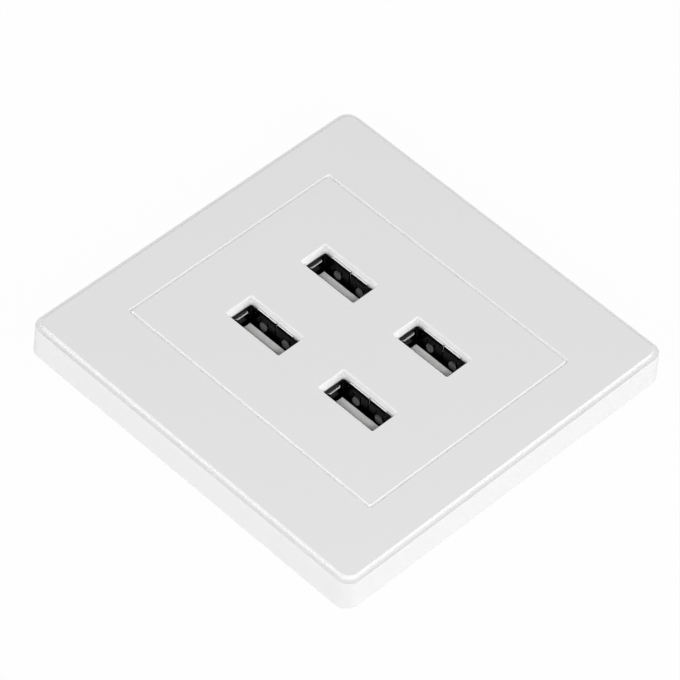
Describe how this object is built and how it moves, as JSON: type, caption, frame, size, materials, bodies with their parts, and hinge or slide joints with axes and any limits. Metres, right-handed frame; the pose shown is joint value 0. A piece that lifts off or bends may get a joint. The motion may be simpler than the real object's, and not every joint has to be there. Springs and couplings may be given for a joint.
{
  "type": "usb wall socket",
  "caption": "Square flush wall plate with a clipped frame and a flat middle panel of recessed USB-A charging ports, backed by a box with mains screw terminals.",
  "frame": {"origin": "middle of the wall plane that the plate's back lies on, between the two fixing slots", "axes": "+Z out of the wall through the ports, X along the line of the fixing slots, +Y towards the terminals"},
  "size_m": [0.086, 0.086, 0.0344],
  "materials": {
    "board_green": "solder mask on glass laminate",
    "bobbin_black": "moulded phenolic",
    "can_sleeve": "sleeved aluminium can",
    "chip_black": "moulded epoxy",
    "choke_core": "ferrite drum in a sleeve",
    "contact_gold": "gold flashed",
    "cover_white": "fine satin moulded white",
    "disc_blue": "lacquered disc",
    "disc_red": "lacquered disc",
    "ferrite": "sintered ferrite",
    "film_yellow": "moulded box",
    "fuse_body": "lacquered body",
    "header_black": "moulded",
    "housing_white": "moulded white",
    "optocoupler_white": "moulded epoxy",
    "panel_white": "fine satin moulded white",
    "pin_brass": "tinned",
    "saddle_steel": "zinc plated",
    "screw_steel": "zinc plated",
    "shell_steel": "nickel plated stamping",
    "terminal_brass": "stamped",
    "terminal_screw_steel": "zinc plated",
    "tongue_white": "moulded white",
    "winding_yellow": "wire wrapped in polyester tape"
  },
  "bodies": {
    "socket": {"bridge_rectifier": "chip_black", "charge_chips": "chip_black", "chip_resistors": "chip_black", "choke": "choke_core", "controller_chip": "chip_black", "cover_frame": "cover_white", "film_capacitor": "film_yellow", "fuse": "fuse_body", "header_pins": "pin_brass", "housing_screws": "screw_steel", "input_capacitor": "can_sleeve", "main_board": "board_green", "optocoupler": "optocoupler_white", "output_capacitors": "can_sleeve", "output_rectifier": "chip_black", "pin_header": "header_black", "port_board": "board_green", "port_board_screws": "screw_steel", "rear_housing": "housing_white", "socket_body": "panel_white", "terminal_strip_line": "terminal_brass", "terminal_strip_neutral": "terminal_brass", "transformer_bobbin": "bobbin_black", "transformer_core": "ferrite", "transformer_winding": "winding_yellow", "usb_contacts_1": "contact_gold", "usb_contacts_2": "contact_gold", "usb_contacts_3": "contact_gold", "usb_contacts_4": "contact_gold", "usb_shell_1": "shell_steel", "usb_shell_2": "shell_steel", "usb_shell_3": "shell_steel", "usb_shell_4": "shell_steel", "usb_tongue_1": "tongue_white", "usb_tongue_2": "tongue_white", "usb_tongue_3": "tongue_white", "usb_tongue_4": "tongue_white", "varistor": "disc_red", "y_capacitor": "disc_blue"},
    "saddle_line": {"terminal_saddle_line": "saddle_steel"},
    "screw_line": {"terminal_screw_line": "terminal_screw_steel"},
    "saddle_neutral": {"terminal_saddle_neutral": "saddle_steel"},
    "screw_neutral": {"terminal_screw_neutral": "terminal_screw_steel"}
  },
  "joints": [
    {"name": "line_saddle_slide", "type": "slide", "parent": "socket", "child": "saddle_line", "axis": [0, 0, -1], "range_m": [0, 0.0024]},
    {"name": "line_screw_turn", "type": "hinge", "parent": "saddle_line", "child": "screw_line", "pos_m": [-0.0058, 0.0184, -0.0204], "axis": [0, 0, -1], "range_deg": [0, 1440]},
    {"name": "neutral_saddle_slide", "type": "slide", "parent": "socket", "child": "saddle_neutral", "axis": [0, 0, -1], "range_m": [0, 0.0024]},
    {"name": "neutral_screw_turn", "type": "hinge", "parent": "saddle_neutral", "child": "screw_neutral", "pos_m": [0.0058, 0.0184, -0.0204], "axis": [0, 0, -1], "range_deg": [0, 1440]}
  ],
  "couplings": [
    {"joint": "line_screw_turn", "follows": "line_saddle_slide", "rad_per_m": 10472},
    {"joint": "neutral_screw_turn", "follows": "neutral_saddle_slide", "rad_per_m": 10472}
  ]
}
